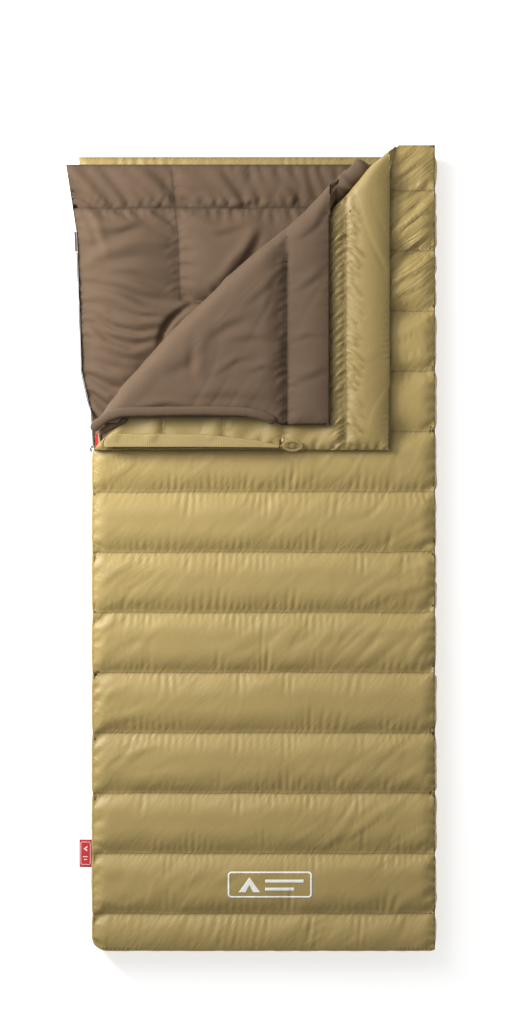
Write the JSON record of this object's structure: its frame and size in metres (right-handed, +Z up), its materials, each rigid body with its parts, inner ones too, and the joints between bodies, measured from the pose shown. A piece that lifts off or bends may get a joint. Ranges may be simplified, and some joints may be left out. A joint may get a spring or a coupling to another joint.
{
  "type": "camp quilt bag",
  "caption": "Rectangular double-layer camp quilt bag with channel quilting, side and foot zips, and its top left corner folded back to show a brown lining.",
  "frame": {"origin": "centre of the outer bag's underside, where it lies on the ground, not counting the edges that spread open at the head", "axes": "+Z up from the ground, +Y along the bag from the foot to the head, +X from the zip side to the closed side"},
  "size_m": [0.919, 2.003, 0.1486],
  "materials": {
    "khaki_shell": "smooth woven polyester with a soft sheen",
    "khaki_lining": "smooth woven polyester",
    "inner_shell": "smooth woven polyester",
    "brown_lining": "matte brushed cloth",
    "fill": "soft hollow-fibre wadding",
    "olive_tape": "woven zip tape",
    "brown_tape": "woven zip tape",
    "olive_coil": "moulded nylon coil",
    "brown_coil": "moulded nylon coil",
    "zip_metal": "die-cast, satin",
    "red_pull": "moulded, matt",
    "red_label": "woven label",
    "white_print": "printed ink"
  },
  "bodies": {
    "bag": {"inner_bottom_fill": "fill", "inner_bottom_lining": "brown_lining", "inner_bottom_shell": "inner_shell", "inner_draft_tube": "brown_lining", "inner_side_gusset": "inner_shell", "inner_top_fill": "fill", "inner_top_lining": "brown_lining", "inner_top_shell": "inner_shell", "inner_zip_bottom_stop": "brown_coil", "inner_zip_coil_lower": "brown_coil", "inner_zip_coil_upper": "brown_coil", "inner_zip_end_tab": "brown_tape", "inner_zip_tape_lower": "brown_tape", "inner_zip_tape_upper": "brown_tape", "inner_zip_top_stop": "brown_coil", "outer_bottom_fill": "fill", "outer_bottom_lining": "khaki_lining", "outer_bottom_shell": "khaki_shell", "outer_draft_flap": "khaki_shell", "outer_side_gusset": "khaki_shell", "outer_top_fill": "fill", "outer_top_lining": "khaki_lining", "outer_top_shell": "khaki_shell", "outer_zip_bottom_stop": "olive_coil", "outer_zip_coil_lower": "olive_coil", "outer_zip_coil_upper": "olive_coil", "outer_zip_tape_lower": "olive_tape", "outer_zip_tape_upper": "olive_tape", "outer_zip_top_stop": "olive_coil", "printed_mark": "white_print", "side_label": "red_label"},
    "outer_corner": {"outer_flap_draft_flap": "khaki_shell", "outer_flap_fill": "fill", "outer_flap_lining": "khaki_lining", "outer_flap_pull_loop": "khaki_shell", "outer_flap_shell": "khaki_shell", "outer_flap_top_stop": "olive_coil", "outer_flap_zip_coil": "olive_coil", "outer_flap_zip_tape": "olive_tape"},
    "inner_corner": {"inner_flap_draft_tube": "brown_lining", "inner_flap_fill": "fill", "inner_flap_lining": "brown_lining", "inner_flap_shell": "inner_shell", "inner_flap_top_stop": "brown_coil", "inner_flap_zip_coil": "brown_coil", "inner_flap_zip_tape": "brown_tape"},
    "outer_slider": {"outer_slider_body": "zip_metal"},
    "outer_pull_out": {"outer_pull_outside": "zip_metal"},
    "outer_pull_in": {"outer_pull_inside": "red_pull"},
    "inner_slider": {"inner_slider_body": "zip_metal"},
    "inner_pull_in": {"inner_pull": "zip_metal"}
  },
  "joints": [
    {"name": "outer_corner_fold", "type": "hinge", "parent": "bag", "child": "outer_corner", "pos_m": [-0.045, 0.62, 0.0953], "axis": [-0.7071, -0.7071, 0], "range_deg": [0, 179.5]},
    {"name": "inner_corner_fold", "type": "hinge", "parent": "bag", "child": "inner_corner", "pos_m": [-0.0925, 0.6225, 0.0953], "axis": [-0.7071, -0.7071, 0], "range_deg": [0, 179.5]},
    {"name": "outer_slider_travel", "type": "slide", "parent": "bag", "child": "outer_slider", "axis": [0, -1, 0], "range_m": [0, 1.2]},
    {"name": "outer_pull_out_turn", "type": "hinge", "parent": "outer_slider", "child": "outer_pull_out", "pos_m": [-0.4329, 0.245, 0.046], "axis": [0, 0, -1], "range_deg": [0, 170]},
    {"name": "outer_pull_in_turn", "type": "hinge", "parent": "outer_slider", "child": "outer_pull_in", "pos_m": [-0.417, 0.248, 0.046], "axis": [1, 0, 0], "range_deg": [-30, 38]},
    {"name": "inner_slider_travel", "type": "slide", "parent": "bag", "child": "inner_slider", "axis": [0, -1, 0], "range_m": [0, 1.25]},
    {"name": "inner_pull_turn", "type": "hinge", "parent": "inner_slider", "child": "inner_pull_in", "pos_m": [-0.3991, 0.296, 0.046], "axis": [0, 0, -1], "range_deg": [0, 170]}
  ],
  "couplings": [
    {"joint": "inner_corner_fold", "follows": "outer_corner_fold", "ratio": 1}
  ]
}
